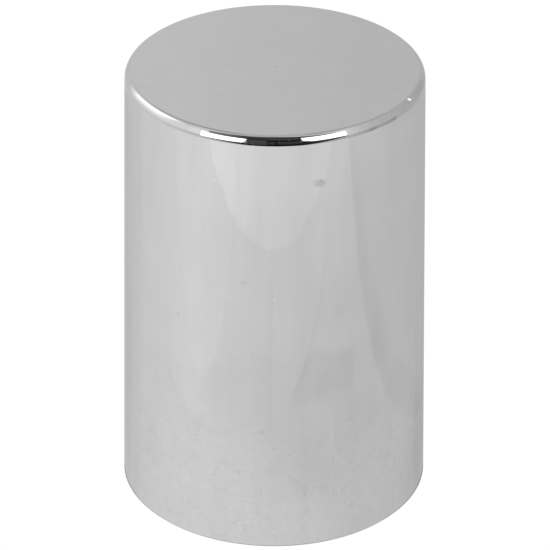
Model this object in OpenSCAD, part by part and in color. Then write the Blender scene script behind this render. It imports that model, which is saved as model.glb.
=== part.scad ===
// Push-on cover cap for a wheel nut: a bright plated cup, moulded in one piece.
// It stands on its open rim, with the axis along Z and the origin in the middle of the rim.
// The shell tapers a little towards the crown, so that it draws off its core.
// Thin upright ribs inside form a hexagonal socket that grips the flats of the nut,
// step inwards to a shoulder that stops on top of the nut, and leave room for the stud.

/* [Shell] */
// Outside diameter at the open rim
rim_d = 51; // [48:0.5:60]
// Overall height, from the open rim to the crown
cap_h = 75.5; // [55:0.5:120]
// Wall thickness at the rim
wall = 2.1; // [1.5:0.1:3]
// Thickness of the crown, the closed flat end
crown_t = 2.4; // [1.5:0.1:4]
// Taper of the wall, in degrees a side
shell_draft = 1; // [0.25:0.25:1.5]
// Radius of the edge between the wall and the crown
edge_r = 1.5; // [0.5:0.25:4]
// Radius of the inside corner under the crown
inner_r = 1; // [0.5:0.25:2.5]

/* [Rim] */
// Straight round skirt over the washer of the nut, measured up from the rim
skirt_h = 8; // [5:0.5:12]
// Chamfer inside the rim, which finds the washer
lead_in = 0.6; // [0.2:0.1:1]
// Chamfer that breaks the outside edge of the rim
rim_break = 0.3; // [0.1:0.1:0.6]

/* [Nut socket] */
// Width of the wheel nut across its flats
nut_af = 33; // [30:0.5:38]
// How far the ribs bite into each flat of the nut
grip_bite = 0.1; // [0:0.05:0.3]
// Height of the shoulder that stops on the nut, above the rim
stop_h = 32; // [24:1:42]
// Diameter of the space kept free for the end of the stud
stud_space_d = 28; // [24:0.5:30]

/* [Ribs] */
// Ribs on each flat of the nut
ribs_per_flat = 2; // [1:1:3]
// Thickness of a rib at its foot
rib_t = 1.2; // [0.8:0.1:2]
// Taper of each side of a rib, in degrees
rib_draft = 0.25; // [0:0.25:1]
// Height of the foot of the ribs above the skirt
rib_setback = 1; // [0.5:0.5:4]
// Flat land left on the foot of a rib, next to the wall
foot_land = 0.6; // [0.3:0.1:1.5]
// Slope of the ramp that guides the nut in between the ribs, in degrees from the axis
ramp_a = 45; // [30:5:55]

/* [Hidden] */
$fn = 128;
flats = 6;
ribs = flats * ribs_per_flat;
rim_r = rim_d / 2;
skirt_r = rim_r - wall;
inner_h = cap_h - crown_t;
grip_r = nut_af / 2 - grip_bite;
stud_r = stud_space_d / 2;
rib_z = skirt_h + rib_setback;
ramp_r = skirt_r - foot_land;
ramp_h = (ramp_r - stud_r) / tan(ramp_a);
// How far a straight side runs inside the round edge that it meets, which it all but touches
blend = 0.0002;
// How far the space for the stud reaches down into the space for the nut
overlap = 1;

// Half section of a tapered round body that stands on the X axis, with its top edge rounded.
// Its side is straight up to z0 and leans in by a degrees above it.
// The foot grows outwards by flare, or is broken by that much if flare is below zero.
module tapered_section(r, h, a, edge, z0, flare) {
    edge_x = r - (h - edge - z0) * tan(a) - edge / cos(a);
    edge_z = h - edge;
    run_in = edge - blend;
    foot = [[0, 0], [r + flare, 0], [r, abs(flare)]];
    straight = z0 > abs(flare) ? [[r, z0]] : [];
    head = [
        [edge_x + run_in * cos(a), edge_z + run_in * sin(a)],
        [edge_x, edge_z],
        [edge_x, h],
        [0, h]
    ];
    polygon(concat(foot, straight, head));
    translate([edge_x, edge_z])
        circle(r = edge);
}

// Outside of the cap, solid right through
module outer_form() {
    rotate_extrude()
        tapered_section(rim_r, cap_h, shell_draft, edge_r, rim_break, -rim_break);
}

// Smooth space inside the shell
module inner_form() {
    rotate_extrude()
        tapered_section(skirt_r, inner_h, shell_draft, inner_r, skirt_h, lead_in);
}

// Two opposite ribs as one upright plate right across the cap, thicker towards the crown
module rib_plate() {
    plate_h = cap_h - rib_z;
    foot = rib_t / 2;
    head = foot + plate_h * tan(rib_draft);
    translate([0, 0, rib_z])
        rotate([90, 0, 0])
            linear_extrude(height = rim_d, center = true)
                polygon([[-foot, 0], [foot, 0], [head, plate_h], [-head, plate_h]]);
}

// Room between the ribs: the ramp, the hexagon of the nut and the space for the stud
module nut_room() {
    translate([0, 0, rib_z])
        cylinder(h = ramp_h, r1 = ramp_r, r2 = stud_r);
    cylinder(h = stop_h, r = grip_r / cos(180 / flats), $fn = flats);
    translate([0, 0, stop_h - overlap])
        cylinder(h = cap_h, r = stud_r);
}

// All the ribs, evenly spaced, with none at a corner of the nut
module rib_ring() {
    difference() {
        for (i = [0 : ribs / 2 - 1])
            rotate([0, 0, (i + 0.5) * 360 / ribs - 90])
                rib_plate();
        nut_room();
    }
}

module cap() {
    color("gainsboro")
        difference() {
            outer_form();
            difference() {
                inner_form();
                rib_ring();
            }
        }
}

cap();
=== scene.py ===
import math

import bpy
from mathutils import Matrix, Vector


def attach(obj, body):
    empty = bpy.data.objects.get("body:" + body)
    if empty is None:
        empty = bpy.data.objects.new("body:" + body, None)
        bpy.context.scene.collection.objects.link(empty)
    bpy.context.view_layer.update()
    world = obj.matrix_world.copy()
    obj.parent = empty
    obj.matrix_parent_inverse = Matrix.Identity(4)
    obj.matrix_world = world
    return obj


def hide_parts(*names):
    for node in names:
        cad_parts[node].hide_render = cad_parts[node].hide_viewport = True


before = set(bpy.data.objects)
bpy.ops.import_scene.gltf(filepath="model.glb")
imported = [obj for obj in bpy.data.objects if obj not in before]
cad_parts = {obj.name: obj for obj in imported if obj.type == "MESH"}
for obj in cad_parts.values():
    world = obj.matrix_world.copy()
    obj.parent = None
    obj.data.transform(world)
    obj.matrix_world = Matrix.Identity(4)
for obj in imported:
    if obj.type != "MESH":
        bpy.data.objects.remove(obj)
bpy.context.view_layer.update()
scene = bpy.context.scene

MM = 0.001

# the cap's own sizes, in mm, as in the solid
RIM_R = 25.5
CAP_H = 75.5
WALL = 2.1
CROWN_T = 2.4
DRAFT = math.radians(1.0)
EDGE_R = 1.5
INNER_R = 1.0
SKIRT_H = 8.0
LEAD_IN = 0.6
RIM_BREAK = 0.3
GRIP_R = 16.4
STOP_H = 32.0
STUD_R = 14.0
RIB_T = 1.2
RIB_DRAFT = math.radians(0.25)
RIB_Z = 9.0
FOOT_LAND = 0.6
RIBS = 12
SKIRT_R = RIM_R - WALL
RAMP_R = SKIRT_R - FOOT_LAND
INNER_H = CAP_H - CROWN_T

# faces round the cap
SEGMENTS = 384


def corner_x(r, h, edge, z0):
    """Distance from the axis to the centre of the round edge of a tapered body."""
    return r - (h - edge - z0) * math.tan(DRAFT) - edge / math.cos(DRAFT)


def inner_radius(z):
    """Inside radius of the shell at a height."""
    return SKIRT_R - max(0.0, z - SKIRT_H) * math.tan(DRAFT)


def lathe_runs():
    """The cap's closed half section: smooth runs of (radius, height, normal), each with its finish."""
    out_x = corner_x(RIM_R, CAP_H, EDGE_R, RIM_BREAK)
    in_x = corner_x(SKIRT_R, INNER_H, INNER_R, SKIRT_H)
    cos_d, sin_d = math.cos(DRAFT), math.sin(DRAFT)

    def level(z, radii, nz):
        return [(r, z, 0.0, nz) for r in radii]

    def straight(a, b, normal, steps):
        def at(i):
            return (a[0] + (b[0] - a[0]) * i / steps, a[1] + (b[1] - a[1]) * i / steps, *normal)

        return [at(i) for i in range(steps + 1)]

    def arc(cx, cz, r, steps, sign):
        angles = [DRAFT + (math.pi / 2 - DRAFT) * i / steps for i in range(steps + 1)]
        rays = [(math.cos(t), math.sin(t)) for t in angles]
        return [(cx + r * c, cz + r * s, sign * c, sign * s) for c, s in rays]

    half = math.sqrt(0.5)
    foot = (out_x + EDGE_R * cos_d, CAP_H - EDGE_R + EDGE_R * sin_d)
    in_foot = (in_x + INNER_R * cos_d, INNER_H - INNER_R + INNER_R * sin_d)
    return [
        (1, level(INNER_H, [0.0, 6.0, 12.0, 18.0, in_x - 0.3, in_x], -1.0)),
        (1, arc(in_x, INNER_H - INNER_R, INNER_R, 8, -1)[::-1]),
        (1, straight(in_foot, (SKIRT_R, SKIRT_H), (-cos_d, -sin_d), 8)),
        (1, straight((SKIRT_R, SKIRT_H), (SKIRT_R, LEAD_IN), (-1.0, 0.0), 2)),
        (1, straight((SKIRT_R, LEAD_IN), (SKIRT_R + LEAD_IN, 0.0), (-half, -half), 1)),
        (0, level(0.0, [SKIRT_R + LEAD_IN, RIM_R - RIM_BREAK], -1.0)),
        (0, straight((RIM_R - RIM_BREAK, 0.0), (RIM_R, RIM_BREAK), (half, -half), 1)),
        (0, straight((RIM_R, RIM_BREAK), foot, (cos_d, sin_d), 24)),
        (0, arc(out_x, CAP_H - EDGE_R, EDGE_R, 32, 1)),
        (0, level(CAP_H, [out_x, out_x - 0.3, 20.0, 15.0, 10.0, 5.0, 0.0], 1.0)),
    ]


class Builder:
    """Collects welded corners and faces, each face corner with its own normal."""

    def __init__(self):
        self.verts, self.keys = [], {}
        self.faces, self.normals, self.finish = [], [], []

    def vert(self, p):
        key = tuple(round(v, 6) for v in p)
        if key not in self.keys:
            self.keys[key] = len(self.verts)
            self.verts.append([v * MM for v in p])
        return self.keys[key]

    def face(self, points, normals, finish):
        ids = [self.vert(p) for p in points]
        keep = [i for i in range(len(ids)) if ids[i] != ids[i - 1]]
        if len(keep) < 3:
            return
        self.faces.append([ids[i] for i in keep])
        self.normals.extend(normals[i] for i in keep)
        self.finish.append(finish)

    def flat(self, points, finish):
        a = Vector(points[1]) - Vector(points[0])
        n = a.cross(Vector(points[2]) - Vector(points[1])).normalized()
        self.face(points, [n] * len(points), finish)


def add_shell(out):
    """The shell, turned from its half section."""
    angles = [2 * math.pi * i / SEGMENTS for i in range(SEGMENTS)]
    turn = [(math.cos(a), math.sin(a)) for a in angles]
    for finish, run in lathe_runs():
        for (r0, z0, a0, b0), (r1, z1, a1, b1) in zip(run, run[1:]):
            for i in range(SEGMENTS):
                (c, s), (c2, s2) = turn[i], turn[(i + 1) % SEGMENTS]
                corners = [(r0, z0, c, s), (r0, z0, c2, s2), (r1, z1, c2, s2), (r1, z1, c, s)]
                normals = [(a0, b0, c, s), (a0, b0, c2, s2), (a1, b1, c2, s2), (a1, b1, c, s)]
                out.face(
                    [(r * u, r * v, z) for r, z, u, v in corners],
                    [(a * u, a * v, b) for a, b, u, v in normals],
                    finish,
                )


def add_rib(out, angle):
    """One upright rib: foot, ramp, the length that grips the nut, shoulder and the run beside the stud."""
    # flat is the bearing of the nut's flat that the rib stands on, lean how far the rib is turned from it
    flat = math.radians(30 + 60 * math.floor(math.degrees(angle) / 60))
    lean = angle - flat
    er = Vector((math.cos(angle), math.sin(angle), 0))
    es = Vector((-math.sin(angle), math.cos(angle), 0))
    # the ribs run a little way into the crown and the wall
    sunk = 1.0
    top = INNER_H + sunk

    def outline(side):
        def half(z):
            return side * (RIB_T / 2 + (z - RIB_Z) * math.tan(RIB_DRAFT))

        def grip(z):
            return (GRIP_R + half(z) * math.sin(lean)) / math.cos(lean)

        # the 45 degree ramp meets the gripping length where both are as far from the axis
        ramp_z = RIB_Z + RAMP_R - GRIP_R
        for _ in range(20):
            ramp_z = RIB_Z + RAMP_R - math.hypot(grip(ramp_z), half(ramp_z))
        rows = [
            (inner_radius(RIB_Z) + sunk, RIB_Z),
            (math.sqrt(RAMP_R**2 - half(RIB_Z) ** 2), RIB_Z),
            (grip(ramp_z), ramp_z),
            (grip(STOP_H), STOP_H),
            (math.sqrt(STUD_R**2 - half(STOP_H) ** 2), STOP_H),
            (math.sqrt(STUD_R**2 - half(top) ** 2), top),
            (inner_radius(top) + sunk, top),
        ]
        return [er * r + es * half(z) + Vector((0, 0, z)) for r, z in rows]

    left, right = outline(1), outline(-1)
    out.flat(left, 1)
    out.flat(right[::-1], 1)
    for i in range(len(left)):
        j = (i + 1) % len(left)
        out.flat([left[j], left[i], right[i], right[j]], 1)


def build_cap():
    """The cap as one mesh: finish 0 outside, finish 1 inside."""
    out = Builder()
    add_shell(out)
    pitch = 360 / RIBS
    for k in range(RIBS):
        add_rib(out, math.radians((k + 0.5) * pitch))
    mesh = bpy.data.meshes.new("nut_cover")
    mesh.from_pydata(out.verts, [], out.faces)
    mesh.polygons.foreach_set("use_smooth", [True] * len(out.faces))
    mesh.polygons.foreach_set("material_index", out.finish)
    mesh.update()
    mesh.normals_split_custom_set([tuple(n) for n in out.normals])
    cap = bpy.data.objects.new("nut_cover", mesh)
    scene.collection.objects.link(cap)
    return cap


class Nodes:
    """Short calls that add shader nodes to a tree."""

    def __init__(self, tree):
        self.tree = tree

    def add(self, kind, **values):
        node = self.tree.nodes.new(kind)
        for k, v in values.items():
            setattr(node, k, v)
        return node

    def link(self, source, target):
        if isinstance(source, (int, float)):
            target.default_value = source
        else:
            self.tree.links.new(source, target)

    def math(self, operation, a, b=None, c=None):
        node = self.add("ShaderNodeMath", operation=operation)
        for i, v in enumerate((a, b, c)):
            if v is not None:
                self.link(v, node.inputs[i])
        return node.outputs[0]

    def plus(self, a, b):
        return self.math("ADD", a, b)

    def minus(self, a, b):
        return self.math("SUBTRACT", a, b)

    def by(self, a, b):
        return self.math("MULTIPLY", a, b)

    def linear(self, value, slope, start):
        return self.math("MULTIPLY_ADD", value, slope, start)

    def hypot(self, a, b):
        return self.math("SQRT", self.plus(self.math("POWER", a, 2.0), self.math("POWER", b, 2.0)))

    def degrees(self, radians, start=None):
        if start is None:
            return self.by(radians, 180 / math.pi)
        return self.linear(radians, 180 / math.pi, start)

    def ramp(self, value, x0, x1, y0=0.0, y1=1.0, kind="SMOOTHSTEP"):
        """Goes from y0 to y1 as value goes from x0 to x1."""
        node = self.add("ShaderNodeMapRange", interpolation_type=kind, clamp=True)
        self.link(value, node.inputs["Value"])
        for name, v in (("From Min", x0), ("From Max", x1), ("To Min", y0), ("To Max", y1)):
            self.link(v, node.inputs[name])
        return node.outputs["Result"]

    def band(self, value, x0, x1, soft):
        """1 between x0 and x1, 0 outside, with soft edges."""
        after = self.ramp(value, x0 - soft, x0 + soft)
        before = self.ramp(value, x1 - soft, x1 + soft, 1.0, 0.0)
        return self.by(after, before)

    def mix(self, mask, a, b):
        """a where mask is 0, b where it is 1."""
        node = self.add("ShaderNodeMix", data_type="FLOAT")
        self.link(mask, node.inputs[0])
        self.link(a, node.inputs[2])
        self.link(b, node.inputs[3])
        return node.outputs[0]

    def vector(self, operation, a, b=None, out="Vector"):
        node = self.add("ShaderNodeVectorMath", operation=operation)
        for i, v in enumerate((a, b)):
            if isinstance(v, tuple):
                node.inputs[i].default_value = v
            elif v is not None:
                self.tree.links.new(v, node.inputs[i])
        return node.outputs[out]

    def split(self, vector):
        node = self.add("ShaderNodeSeparateXYZ")
        self.tree.links.new(vector, node.inputs[0])
        return node.outputs

    def noise(self, vector, scale, detail=2.0, rough=0.5):
        node = self.add("ShaderNodeTexNoise", noise_dimensions="3D")
        self.tree.links.new(vector, node.inputs["Vector"])
        node.inputs["Scale"].default_value = scale
        node.inputs["Detail"].default_value = detail
        node.inputs["Roughness"].default_value = rough
        return node.outputs["Fac"]

    def around(self, x, y):
        """Bearing of (x, y) in degrees: 0 in front, positive to the right."""
        return self.degrees(self.math("ARCTAN2", x, self.by(y, -1.0)))

    def times(self, value, mask, amount):
        """value, stronger by the share amount where mask is 1."""
        return self.by(value, self.linear(mask, amount, 1.0))

    def all_of(self, first, *rest):
        """1 only where every mask is 1."""
        for mask in rest:
            first = self.by(first, mask)
        return first


# brightness of the outside plating, from 0 to 1
CHROME = 0.48

# how far down the viewer looks that the studio is laid out for, and what is added to a slope to give its
# tilt, both in degrees
VIEWER_DOWN = 27.5
TILT_SHIFT = 11.0

# strengths of the studio's lights, and of the wall and floor that the camera sees
WINDOW = 4.0
LAMP = 2.4
LAMP_TAIL = 0.72
SLIT = 2.6
BACKDROP = 1.02

# how far from the cap's front edge the sheet on the table fades into the studio, in mm
SHEET_END = (162.0, 186.0)

# half the side of the table, in metres, and how far floor and table lie below the rim
TABLE_REACH = 4.0
CLEARANCE = 0.0001

# the camera, as fitted to the photo's outline: pixels, degrees and mm
IMAGE_SIDE = 550.0
FOCAL_LENGTH = 3739.0
CAMERA_DOWN = 30.0
CAMERA_ROLL = 0.2
CAMERA_AT = (0.11, -536.65, 346.90)
SENSOR = 36.0


def level(tone):
    """Brightness of the surroundings that the chrome shows as this tone, from 0 to 255 on the screen."""
    c = tone / 255.0
    return (c / 12.92 if c <= 0.04045 else ((c + 0.055) / 1.055) ** 2.4) / CHROME


def along(n, value, stops, lo, hi):
    """Brightness along a range, from listed stops of (place, tone)."""
    node = n.add("ShaderNodeValToRGB")
    n.link(n.ramp(value, lo, hi, kind="LINEAR"), node.inputs[0])
    ramp = node.color_ramp
    ramp.interpolation = "EASE"
    while len(ramp.elements) < len(stops):
        ramp.elements.new(1.0)
    for e, (at, tone) in zip(ramp.elements, stops):
        e.position = (at - lo) / (hi - lo)
        v = level(tone)
        e.color = (v, v, v, 1)
    return node.outputs[0]


def by_bearing(n, turn, stops):
    """Brightness round the cap, from listed stops of (bearing, tone)."""
    return along(n, turn, stops, -90, 90)


def studio_light(n, direction):
    """Brightness of the studio in a direction: a pale tent with two windows and a dark gap between them.

    The lights are laid out by the slope of the chrome that would show them to someone who looks at the cap
    from the front and above: turn is the bearing that this slope faces, and tilt is how far it faces up,
    plus TILT_SHIFT, both in degrees. The layout is fixed in the part's frame and follows no camera.
    """
    look = math.radians(VIEWER_DOWN)
    half = n.vector("ADD", direction, (0.0, -math.cos(look), math.sin(look)))
    x, y, z = n.split(n.vector("NORMALIZE", half))
    turn = n.around(x, y)
    tilt = n.degrees(n.math("ARCSINE", n.math("MINIMUM", z, 1.0)), TILT_SHIFT)

    # the tent's walls, from the roof down
    roof = along(n, x, [(-0.03, 188), (0.0, 184), (0.03, 180)], -0.05, 0.05)
    upper = by_bearing(
        n, turn,
        [
            (-90, 188), (-66, 182), (-50, 160), (-34, 150), (-20, 152), (-8, 168), (8, 166), (20, 152),
            (45, 154), (58, 168), (90, 177),
        ],
    )
    middle = by_bearing(
        n, turn,
        [
            (-90, 186), (-76, 190), (-66, 200), (-42, 208), (-36, 207), (-31, 217), (-28, 206), (28, 202),
            (33, 190), (36, 180), (42, 173), (50, 169), (62, 164), (76, 162), (90, 174),
        ],
    )
    lower = by_bearing(
        n, turn,
        [
            (-90, 190), (-52, 196), (-44, 190), (-30, 182), (28, 170), (36, 162), (41, 136), (44, 158),
            (49, 150), (52, 142), (55, 166), (90, 176),
        ],
    )
    skirt = by_bearing(
        n, turn, [(-90, 188), (-35, 206), (0, 204), (32, 198), (45, 189), (60, 182), (90, 176)]
    )
    eaves = n.ramp(turn, 8.0, 28.0, 84.0, 81.0)
    light = n.mix(n.ramp(n.minus(tilt, eaves), 0.0, 8.0), upper, roof)
    light = n.mix(n.ramp(tilt, 76.0, 70.0), light, middle)
    light = n.mix(n.ramp(tilt, 37.0, 26.0), light, lower)
    light = n.mix(n.ramp(tilt, 15.0, 12.0), light, skirt)

    # soft lamp behind the tent's left side, with a long fall-off downwards
    # an oval round turn -55.5 and tilt 68.8, which leans a little
    side = n.math("DIVIDE", n.plus(turn, 55.5), 13.2)
    off = n.math("DIVIDE", n.minus(tilt, n.linear(turn, 0.06, 68.8)), 6.8)
    reach = n.plus(n.math("POWER", side, 2.0), n.math("POWER", off, 2.0))
    light = n.mix(n.ramp(reach, 1.5, 0.65), light, LAMP)
    tail = n.all_of(n.band(turn, -73.0, -47.0, 6.0), n.ramp(tilt, 35.0, 60.0), n.ramp(tilt, 72.0, 62.0))
    light = n.linear(tail, LAMP_TAIL, light)
    # shade between the lamp and the left window
    light = n.times(light, n.by(n.band(turn, -38.0, -28.0, 3.0), n.band(tilt, 62.0, 71.0, 4.0)), -0.2)
    # a slit of light in the tent's right side
    slit = n.all_of(n.band(turn, 65.3, 66.0, 0.3), n.band(tilt, 52.0, 71.0, 3.0))
    light = n.linear(slit, SLIT, light)

    # the dark room between the windows, and its shade round their corners
    arch = n.linear(n.math("POWER", n.plus(turn, 2.0), 2.0), -0.03, 72.5)
    gap = n.all_of(
        n.band(turn, -10.9, 10.4, 0.5), n.ramp(tilt, 11.5, 14.5), n.ramp(n.minus(tilt, arch), 3.0, -3.0)
    )
    over = n.minus(tilt, n.linear(turn, 0.2, 73.0))
    above_l = n.all_of(n.band(turn, -26.5, -10.5, 0.5), n.ramp(tilt, 49.0, 55.0), n.ramp(over, 3.0, -3.0))
    above_r = n.all_of(n.band(turn, 10.0, 24.0, 1.0), n.ramp(tilt, 55.0, 59.0), n.ramp(tilt, 73.0, 65.0))
    floor_l = n.linear(turn, -0.55, 7.5)
    below_l = n.all_of(
        n.band(turn, -27.5, -10.5, 1.0), n.ramp(n.minus(tilt, floor_l), -2.0, 2.0),
        n.ramp(tilt, 30.0, 27.0),
    )
    floor_r = n.linear(turn, 0.85, 3.0)
    below_r = n.all_of(
        n.band(turn, 9.5, 28.0, 1.0), n.ramp(n.minus(tilt, floor_r), -2.0, 2.0), n.ramp(tilt, 40.0, 36.0)
    )
    light = n.mix(above_l, light, along(n, turn, [(-27, 120), (-18, 96), (-11, 60)], -30, 0))
    light = n.mix(above_r, light, along(n, turn, [(10, 56), (16, 120), (24, 164)], 0, 30))
    light = n.mix(below_l, light, along(n, turn, [(-27, 150), (-20, 100), (-12, 44)], -30, 0))
    light = n.mix(below_r, light, along(n, turn, [(12, 32), (22, 56), (28, 110)], 0, 30))
    left_half = along(
        n, tilt,
        [(12, 30), (19, 26), (25, 62), (47, 64), (52, 34), (57, 50), (64, 56), (71, 92), (76, 120)], 10, 80,
    )
    right_half = along(
        n, tilt,
        [
            (12, 22), (20, 14), (28, 48), (39, 56), (43, 16), (48, 20), (52, 62), (60, 58), (66, 44),
            (71, 92), (76, 120),
        ],
        10, 80,
    )
    room = n.mix(n.ramp(turn, -3.6, -2.6), left_half, right_half)
    # darker and paler uprights in the room: bearing, tilt from and to, half width, change
    for at, lowest, highest, wide, share in [
        (-11.0, 26.0, 44.0, 0.5, -0.7),
        (-8.3, 16.0, 27.0, 0.3, 1.6),
        (-2.6, 26.0, 48.0, 0.35, -0.5),
        (0.5, 16.0, 48.0, 0.6, -0.6),
        (1.3, 38.0, 48.0, 0.25, 1.8),
        (5.4, 42.0, 53.0, 0.3, 2.2),
        (9.6, 48.0, 68.0, 0.6, -0.8),
    ]:
        room = n.times(
            room, n.by(n.band(turn, at - wide, at + wide, 0.2), n.band(tilt, lowest, highest, 1.5)), share
        )
    light = n.mix(gap, light, room)

    # the two windows
    top = n.plus(
        n.ramp(turn, -28.5, -25.0, 56.5, 53.0), n.ramp(turn, -24.0, -12.0, 0.0, -3.0, kind="LINEAR")
    )
    inner = n.linear(n.math("MAXIMUM", n.minus(50.0, tilt), 0.0), 0.07, n.plus(turn, 10.8))
    left = n.all_of(
        n.ramp(turn, -29.6, -28.8), n.ramp(inner, 0.4, -0.4), n.ramp(n.minus(tilt, top), 1.0, -1.0),
        n.ramp(tilt, 27.0, 29.0),
    )
    slant = n.linear(n.math("MAXIMUM", n.minus(56.0, tilt), 0.0), 0.07, 10.2)
    slant = n.linear(n.ramp(tilt, 42.0, 34.0), 2.4, slant)
    top = n.linear(turn, 0.17, 55.8)
    right = n.all_of(
        n.ramp(n.minus(turn, slant), -0.4, 0.4), n.ramp(turn, 28.7, 27.9), n.ramp(tilt, 33.5, 35.5),
        n.ramp(n.minus(tilt, top), 1.5, -1.5),
    )
    light = n.mix(left, light, WINDOW)
    return n.mix(right, light, WINDOW)


def build_world():
    """Lights the cap with the studio from all round."""
    world = bpy.data.worlds.new("studio")
    scene.world = world
    world.use_nodes = True
    tree = world.node_tree
    tree.nodes.clear()
    n = Nodes(tree)
    where = n.add("ShaderNodeTexCoord")
    back = n.add("ShaderNodeBackground")
    tree.links.new(studio_light(n, where.outputs["Generated"]), back.inputs["Strength"])
    back.inputs["Color"].default_value = (1, 1, 1, 1)
    out = n.add("ShaderNodeOutputWorld")
    tree.links.new(back.outputs[0], out.inputs[0])


def stage_sheet(name, verts, faces, seen_directly):
    """A sheet that is part of the studio: seen either directly or only in reflections."""
    mesh = bpy.data.meshes.new(name)
    mesh.from_pydata(verts, [], faces)
    ob = bpy.data.objects.new(name, mesh)
    scene.collection.objects.link(ob)
    ob.visible_camera = seen_directly
    ob.visible_glossy = not seen_directly
    ob.visible_shadow = False
    mat = bpy.data.materials.new(name + "_paper")
    mat.use_nodes = True
    mat.node_tree.nodes.clear()
    mesh.materials.append(mat)
    return Nodes(mat.node_tree)


def emit(n, light, cover=None):
    """Ends a stage sheet's nodes in a glow, let through where cover is 0."""
    glow = n.add("ShaderNodeEmission")
    n.link(light, glow.inputs["Strength"])
    surface = glow.outputs[0]
    if cover is not None:
        both = n.add("ShaderNodeMixShader")
        n.link(cover, both.inputs[0])
        n.tree.links.new(n.add("ShaderNodeBsdfTransparent").outputs[0], both.inputs[1])
        n.tree.links.new(surface, both.inputs[2])
        surface = both.outputs[0]
    out = n.add("ShaderNodeOutputMaterial")
    n.tree.links.new(surface, out.inputs["Surface"])


def build_backdrop():
    """Plain pale floor that curves up into a plain pale wall all round."""
    profile = [
        (0.0, 0.0), (2.5, 0.0), (3.1, 0.05), (3.6, 0.25), (3.9, 0.6), (4.0, 1.1), (4.0, 4.0), (0.0, 5.0)
    ]
    steps = 48
    verts, faces = [], []
    for r, z in profile:
        for i in range(steps):
            a = 2 * math.pi * i / steps
            verts.append((r * math.cos(a), r * math.sin(a), z - CLEARANCE))
    for j in range(len(profile) - 1):
        for i in range(steps):
            k = (i + 1) % steps
            faces.append((j * steps + i, j * steps + k, (j + 1) * steps + k, (j + 1) * steps + i))
    emit(stage_sheet("backdrop", verts, faces, True), BACKDROP)


def wall_spot(n, x, y):
    """Bearing and height of the spot on the wall that mirrors this spot of the floor to the front."""
    bearing = n.math("ARCTAN2", x, n.by(y, -1.0))
    far = n.hypot(x, y)
    # a first guess, brought closer in a few rounds, at the wall's radius half way up
    turn = n.by(bearing, 0.55)
    r = RIM_R - 0.6
    for _ in range(4):
        lever = n.math("DIVIDE", n.by(n.math("SINE", turn), r), far)
        lever = n.math("MAXIMUM", n.math("MINIMUM", lever, 1.0), -1.0)
        turn = n.by(n.plus(bearing, n.math("ARCSINE", lever)), 0.5)
    dx = n.minus(x, n.by(n.math("SINE", turn), r))
    dy = n.plus(y, n.by(n.math("COSINE", turn), r))
    run = n.hypot(dx, dy)
    # the line of sight comes up from the floor at about 57 degrees from upright, less steeply further out
    height = n.math("DIVIDE", run, n.linear(run, 0.003, 1.57))
    return n.degrees(turn), height


# painted light and shade on the table, by the spot of the wall that mirrors them:
# bearing from and to, height from and to, softness of each, change
TABLE_TONES = [
    (-27.0, 28.0, 65.0, 300.0, 5.0, 7.0, 0.05),
    (15.0, 33.0, 52.0, 300.0, 4.0, 6.0, 0.035),
    (25.0, 46.0, 68.0, 300.0, 4.0, 4.0, 0.06),
    (-24.0, 12.0, 24.0, 40.0, 6.0, 5.0, -0.035),
    (27.0, 46.0, 27.0, 37.0, 5.0, 4.0, -0.03),
    (-3.0, 50.0, 12.0, 27.0, 5.0, 4.0, -0.045),
    (20.0, 60.0, -50.0, 12.0, 6.0, 4.0, -0.04),
    (-15.0, 50.0, -50.0, 16.0, 10.0, 10.0, 0.03),
    (62.0, 200.0, -50.0, 16.0, 10.0, 10.0, -0.13),
    (68.0, 82.0, -50.0, 16.0, 3.0, 5.0, -0.06),
    (68.0, 82.0, -50.0, 28.0, 3.0, 8.0, -0.025),
    (-79.0, -71.0, -50.0, 38.0, 2.5, 8.0, -0.055),
]


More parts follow.
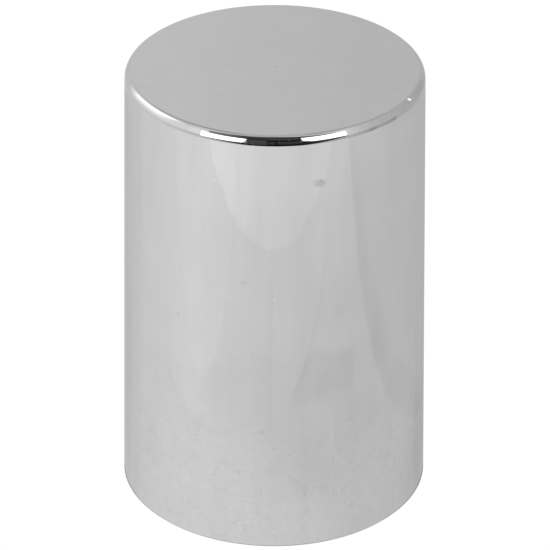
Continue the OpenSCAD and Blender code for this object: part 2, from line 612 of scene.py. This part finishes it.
def build_table():
    """What the chrome mirrors below the horizon: a glowing pale sheet round the cap, with its light and
    shade painted into the glow, and the studio beyond it.
    """
    corners = [(-1, -1), (1, -1), (1, 1), (-1, 1)]
    verts = [(TABLE_REACH * a, TABLE_REACH * b, -CLEARANCE) for a, b in corners]
    n = stage_sheet("table", verts, [(0, 1, 2, 3)], False)
    where = n.add("ShaderNodeTexCoord").outputs["Object"]
    x, y, _ = n.split(n.vector("MULTIPLY", where, (1000.0, 1000.0, 1000.0)))
    soft = n.noise(where, 22.0, 3.0, 0.6)
    turn, height = wall_spot(n, x, y)

    # lit from the left front, with a fold on the right and a darker table beyond the fold
    sheet = by_bearing(
        n, turn,
        [
            (-90, 189), (-75, 185), (-65, 193), (-58, 199), (-34, 204), (-16, 200), (0, 195), (15, 190),
            (32, 186), (90, 184),
        ],
    )
    beside = by_bearing(n, turn, [(-90, 184), (30, 184), (58, 182), (66, 181), (72, 176), (90, 177)])
    across = n.plus(n.by(x, 0.74), n.by(y, 0.66))
    light = n.mix(n.ramp(across, 34.5, 38.5), sheet, beside)
    # the sheet's right edge, in shade
    edge = n.all_of(
        n.ramp(across, 34.0, 39.0), n.ramp(across, 60.0, 44.0), n.ramp(x, 42.0, 70.0),
        n.ramp(x, 190.0, 140.0),
    )
    light = n.times(light, edge, -0.05)
    for left, right, low, high, soft_turn, soft_height, share in TABLE_TONES:
        spot = n.by(n.band(turn, left, right, soft_turn), n.band(height, low, high, soft_height))
        light = n.times(light, spot, share)
    # painted shade on the ground behind the cap's sides, since chrome mirrors more at a glancing angle
    side = n.math("ABSOLUTE", turn)
    light = n.times(light, n.ramp(side, 74.0, 86.0, kind="LINEAR"), -0.36)

    def painted_line(x0, y0, x1, y1, width, amount, value):
        """Painted shade along a faint crease from one point to another, darker by a share."""
        length = math.hypot(x1 - x0, y1 - y0)
        ux, uy = (x1 - x0) / length, (y1 - y0) / length
        dx, dy = n.minus(x, x0), n.minus(y, y0)
        s = n.plus(n.by(dx, ux), n.by(dy, uy))
        d = n.math("ABSOLUTE", n.minus(n.by(dx, uy), n.by(dy, ux)))
        return n.times(value, n.by(n.band(s, 0.0, length, 6.0), n.ramp(d, width, 0.0)), -amount)

    # painted light beyond the far edge of the nearer sheet, which bends on the left, and left of two folds
    end = n.linear(n.math("MAXIMUM", n.minus(-34.0, x), 0.0), 0.154, -130.5)
    beyond = n.ramp(n.minus(y, end), 1.5, -1.5)
    light = n.times(light, beyond, 0.06)
    light = n.times(light, n.by(beyond, n.ramp(x, -44.0, -48.0)), 0.02)
    fold = n.linear(n.math("MAXIMUM", n.minus(-75.0, y), 0.0), 0.3, x)
    light = n.times(light, n.all_of(n.ramp(fold, -52.5, -57.0), n.band(y, -150.0, -45.0, 10.0)), 0.035)

    def shade_blot(cx, cy, size, amount, value):
        """A faint round spot of painted shade, darker by a share."""
        off = n.hypot(n.minus(x, cx), n.minus(y, cy))
        return n.times(value, n.ramp(off, size, size * 0.3), -amount)

    # the cap's own contact shade
    under = n.hypot(x, y)
    light = n.times(light, n.ramp(under, 26.3, 25.1), -0.7)
    # painted shade of a scrap under the sheet, along the crease beside it
    beside_crease = n.linear(height, -0.77, turn)
    upper_end = n.linear(turn, 0.08, height)
    scrap_shade = n.all_of(
        n.ramp(beside_crease, -16.0, -15.0), n.ramp(turn, 33.0, 29.0), n.ramp(height, 26.0, 31.0),
        n.ramp(upper_end, 39.4, 37.4),
    )
    light = n.times(light, scrap_shade, -0.05)
    light = n.times(light, n.by(scrap_shade, n.ramp(turn, 14.0, 20.0)), -0.03)
    # painted shade: blots and crease lines on the sheet
    light = shade_blot(82, -20, 18, 0.025, light)
    light = shade_blot(17, -47, 16, 0.03, light)
    light = painted_line(-125, -116, -34, -130, 2.2, 0.04, light)
    light = painted_line(-34, -130, 85, -131, 2.2, 0.035, light)
    light = painted_line(-3, -132, -3, -62, 2.4, 0.035, light)
    light = painted_line(-72, -18, -17, -63, 2.2, 0.03, light)
    light = painted_line(10, -71, 80, -105, 2.4, 0.04, light)
    light = n.by(light, n.ramp(soft, 0.3, 0.7, 0.985, 1.015, kind="LINEAR"))

    # far from the cap the sheet ends and the studio shows, as seen from the cap's front edge
    front = 20.0
    from_edge = n.vector("NORMALIZE", n.vector("SUBTRACT", where, (0.0, -front * MM, CAP_H * MM)))
    far = n.hypot(x, n.plus(y, front))
    emit(n, n.mix(n.ramp(far, *SHEET_END), light, studio_light(n, from_edge)))


def build_card():
    """A pale card that stands round the front of the crown and shines inwards.

    The crown mirrors it to someone behind the cap, where the gap between the windows would make the crown
    look black, and in part to someone beside the cap. From outside it lets everything through.
    """
    radius, low, high = 22.5, CAP_H + 0.1, CAP_H + 75.0
    span, steps = math.radians(88.0), 44
    verts, faces = [], []
    for i in range(steps + 1):
        a = span * (2.0 * i / steps - 1.0)
        for z in (low, high):
            verts.append((radius * math.sin(a) * MM, -radius * math.cos(a) * MM, z * MM))
    for i in range(steps):
        j = 2 * i
        faces.append((j, j + 1, j + 3, j + 2))
    n = stage_sheet("card", verts, faces, False)
    where = n.add("ShaderNodeTexCoord").outputs["Object"]
    x, y, z = n.split(n.vector("MULTIPLY", where, (1000.0, 1000.0, 1000.0)))
    inside = n.minus(1.0, n.add("ShaderNodeNewGeometry").outputs["Backfacing"])
    # it fades out towards both ends and upwards
    cover = n.ramp(n.math("ABSOLUTE", n.around(x, y)), 87.0, 58.0)
    emit(n, level(184), n.all_of(inside, cover, n.ramp(z, high, CAP_H + 25.0)))


# small marks on the plating: bearing in degrees, height, width and height across in mm, darkening
MARKS = [
    (16.6, 67.1, 1.2, 0.75, 0.16),
    (17.9, 66.9, 0.5, 0.9, 0.09),
    (-11.7, 49.5, 0.45, 0.6, 0.08),
    (-38.7, 40.8, 0.45, 0.65, 0.07),
    (25.0, 43.4, 1.1, 1.8, 0.04),
    (-4.3, 22.0, 0.8, 0.55, 0.055),
    (-3.9, 22.2, 0.3, 0.9, 0.04),
    (29.0, 22.6, 0.7, 0.8, 0.045),
    (38.7, 21.0, 0.4, 0.8, 0.05),
    (11.6, 10.1, 0.4, 1.0, 0.07),
    (31.0, 6.2, 0.9, 0.5, 0.05),
    (-8.0, 36.0, 0.5, 0.7, 0.035),
    (-22.0, 33.6, 0.5, 0.8, 0.04),
    (29.5, 14.4, 0.6, 0.9, 0.045),
    (-24.5, 20.8, 0.35, 0.8, 0.045),
    (-14.0, 14.2, 0.9, 0.35, 0.04),
]


def on_wall(bearing, height):
    """The point of the wall at a bearing and height."""
    r = RIM_R - height * math.tan(DRAFT)
    a = math.radians(bearing)
    return (r * math.sin(a), -r * math.cos(a), height)


def chrome(name, tone, rough):
    """A new plating material, with its nodes, its shader and the place on the cap in mm."""
    mat = bpy.data.materials.new(name)
    mat.use_nodes = True
    bsdf = mat.node_tree.nodes["Principled BSDF"]
    bsdf.inputs["Metallic"].default_value = 1.0
    bsdf.inputs["Base Color"].default_value = (tone, tone, tone, 1)
    bsdf.inputs["Roughness"].default_value = rough
    bsdf.inputs["Specular Tint"].default_value = (0.8, 0.8, 0.8, 1)
    n = Nodes(mat.node_tree)
    where = n.add("ShaderNodeTexCoord").outputs["Object"]
    return mat, n, bsdf, n.vector("MULTIPLY", where, (1000.0, 1000.0, 1000.0))


def bump(n, bsdf, layers):
    """Stacks bump layers of (height from 0 to 1, depth in micrometres)."""
    last = None
    for height, depth in layers:
        node = n.add("ShaderNodeBump")
        node.inputs["Distance"].default_value = depth * 1e-6
        n.link(height, node.inputs["Height"])
        if last is not None:
            n.tree.links.new(last, node.inputs["Normal"])
        last = node.outputs["Normal"]
    n.tree.links.new(last, bsdf.inputs["Normal"])


def grey(n, value, socket):
    """Links a number to a colour socket."""
    both = n.add("ShaderNodeCombineColor")
    for i in range(3):
        n.tree.links.new(value, both.inputs[i])
    n.tree.links.new(both.outputs[0], socket)


def chrome_outside():
    """Bright plating: a little wavy and streaked, with a few marks, more and more pits low down, painted
    highlight and shade on short threads, and painted shade in the crown's dimple.
    """
    mat, n, bsdf, p = chrome("chrome_outside", CHROME, 0.04)
    x, y, z = n.split(p)
    streaks = n.noise(n.vector("MULTIPLY", p, (1.0, 1.0, 0.09)), 0.55, 3.0, 0.6)
    clouds = n.noise(p, 0.11, 2.0, 0.5)
    waves = n.noise(p, 0.13, 1.0, 0.5)
    peel = n.noise(p, 0.7, 2.0, 0.5)
    ragged = n.noise(p, 1.3, 2.0, 0.6)

    # pits: one for some of the cells of a Voronoi pattern, none on the crown and most low down
    side = n.ramp(z, CAP_H - 1.0, CAP_H - 2.0)
    low = n.ramp(z, 30.0, 12.0)
    cells = n.add("ShaderNodeTexVoronoi", feature="F1")
    n.tree.links.new(p, cells.inputs["Vector"])
    cells.inputs["Scale"].default_value = 0.85
    draw = n.split(cells.outputs["Color"])[0]
    few = n.math("LESS_THAN", draw, n.linear(low, 0.30, 0.012))
    off = n.linear(n.minus(ragged, 0.5), 0.5, cells.outputs["Distance"])
    pits = n.all_of(n.ramp(off, 0.34, 0.10), few, side)
    grain = n.noise(n.vector("MULTIPLY", p, (1.0, 1.0, 0.7)), 0.9, 4.0, 0.65)
    haze = n.noise(n.vector("MULTIPLY", p, (1.0, 1.0, 0.7)), 0.15, 4.0, 0.6)

    # tone: streaks, clouds, grain and haze, all within a few hundredths
    colour = n.ramp(streaks, 0.3, 0.7, CHROME * 0.988, CHROME * 1.012, kind="LINEAR")
    colour = n.times(colour, n.minus(clouds, 0.5), 0.05)
    colour = n.times(colour, n.by(n.minus(grain, 0.5), low), 0.16)
    colour = n.times(colour, n.by(n.ramp(haze, 0.50, 0.58), n.ramp(z, 50.0, 34.0)), -0.02)
    colour = n.times(colour, pits, n.linear(n.math("LESS_THAN", draw, 0.13), 0.13, -0.07))
    # short raised threads drawn only in colour: a painted highlight on one side and painted shade on the
    # other
    painted_thread = n.noise(p, 0.6, 1.0, 0.5)
    where = n.all_of(n.ramp(n.noise(p, 0.34, 1.0, 0.5), 0.55, 0.62), low, side)
    # the darker line is painted shade, the paler one painted highlight
    for middle, share in ((0.50, -0.045), (0.43, 0.03)):
        painted_line = n.ramp(n.math("ABSOLUTE", n.minus(painted_thread, middle)), 0.05, 0.02)
        colour = n.times(colour, n.by(painted_line, where), share)
    # scuffs across the round edge on one side
    scuffs = n.noise(n.vector("MULTIPLY", p, (1.0, 1.0, 0.2)), 2.2, 3.0, 0.7)
    scuffed = n.by(n.band(n.around(x, y), 26.0, 78.0, 8.0), n.ramp(z, CAP_H - 2.0, CAP_H - 1.3))
    scuffed = n.by(scuffed, n.ramp(z, CAP_H - 0.02, CAP_H - 0.1))
    colour = n.times(colour, n.by(n.minus(scuffs, 0.5), scuffed), 0.3)
    # the marks, which are a little duller as well
    dull = pits
    for bearing, height, wide, high, dark in MARKS:
        flat = (1.0, 1.0, wide / high)
        c = on_wall(bearing, height)
        off = n.vector("SUBTRACT", n.vector("MULTIPLY", p, flat), (c[0], c[1], c[2] * wide / high))
        off = n.linear(n.minus(ragged, 0.5), 1.6 * wide, n.vector("LENGTH", off, out="Value"))
        mark = n.ramp(off, wide * 1.1, wide * 0.35)
        colour = n.times(colour, mark, -dark)
        dull = n.math("MAXIMUM", dull, mark)
    # a hair line, paler than the plating
    hair = n.math("ABSOLUTE", n.minus(n.around(x, y), n.linear(ragged, 5.0, 19.5)))
    hair = n.all_of(n.ramp(hair, 0.5, 0.15), n.band(z, 18.5, 25.0, 0.8))
    colour = n.times(colour, hair, 0.06)
    # the dimple that the moulding gate leaves in the middle of the crown, with painted shade in its bottom
    gate = n.vector("LENGTH", n.vector("SUBTRACT", p, (0.4, 0.5, CAP_H)), out="Value")
    dimple = n.ramp(gate, 0.55, 0.1)
    # painted shade in the bottom of the dimple
    colour = n.times(colour, n.ramp(gate, 0.35, 0.15), -0.12)

    grey(n, colour, bsdf.inputs["Base Color"])
    n.link(
        n.linear(dull, 0.10, n.ramp(clouds, 0.3, 0.7, 0.03, 0.055, kind="LINEAR")),
        bsdf.inputs["Roughness"],
    )
    up = n.minus(1.0, pits)
    bump(n, bsdf, [(waves, 30.0), (peel, 1.2), (up, 3.0), (n.minus(1.0, dimple), 12.0)])
    return mat


def chrome_inside():
    """The thinner, duller plating inside, over the draw lines of the core, with painted shade further in.
    """
    mat, n, bsdf, p = chrome("chrome_inside", 0.60, 0.30)
    lines = n.noise(n.vector("MULTIPLY", p, (1.0, 1.0, 0.03)), 1.4, 3.0, 0.6)
    clouds = n.noise(p, 0.16, 3.0, 0.55)
    peel = n.noise(p, 1.1, 2.0, 0.5)
    deep_shade_and_dull = n.ramp(n.split(p)[2], 8.0, 60.0)
    colour = n.ramp(clouds, 0.3, 0.7, 0.57, 0.65, kind="LINEAR")
    colour = n.times(colour, n.minus(lines, 0.5), 0.12)
    # painted shade: darker further into the hollow, towards the crown
    colour = n.times(colour, deep_shade_and_dull, -0.18)
    grey(n, colour, bsdf.inputs["Base Color"])
    rough = n.linear(deep_shade_and_dull, 0.10, n.ramp(clouds, 0.3, 0.7, 0.24, 0.36, kind="LINEAR"))
    n.link(n.linear(n.minus(lines, 0.5), 0.10, rough), bsdf.inputs["Roughness"])
    bump(n, bsdf, [(lines, 6.0), (peel, 6.0)])
    return mat


def build_camera():
    """The photo's view: from the front and above, with no shift and no depth of field."""
    e = math.radians(CAMERA_DOWN)
    roll = math.radians(CAMERA_ROLL)
    cam = bpy.data.cameras.new("camera")
    cam.sensor_width = SENSOR
    cam.lens = FOCAL_LENGTH / IMAGE_SIDE * SENSOR
    cam.clip_start, cam.clip_end = 0.01, 50.0
    ob = bpy.data.objects.new("camera", cam)
    right = Vector((1, 0, 0))
    up = Vector((0, math.sin(e), math.cos(e)))
    back = Vector((0, -math.cos(e), math.sin(e)))
    rolled_right = right * math.cos(roll) + up * math.sin(roll)
    rolled_up = up * math.cos(roll) - right * math.sin(roll)
    m = Matrix((rolled_right, rolled_up, back)).transposed().to_4x4()
    m.translation = Vector(CAMERA_AT) * MM
    ob.matrix_world = m
    scene.collection.objects.link(ob)
    scene.camera = ob


build_camera()
build_world()
build_backdrop()
build_table()
build_card()
cap = build_cap()
cap.data.materials.append(chrome_outside())
cap.data.materials.append(chrome_inside())
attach(cap, "root")
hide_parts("cap")

scene.view_settings.view_transform = "Standard"
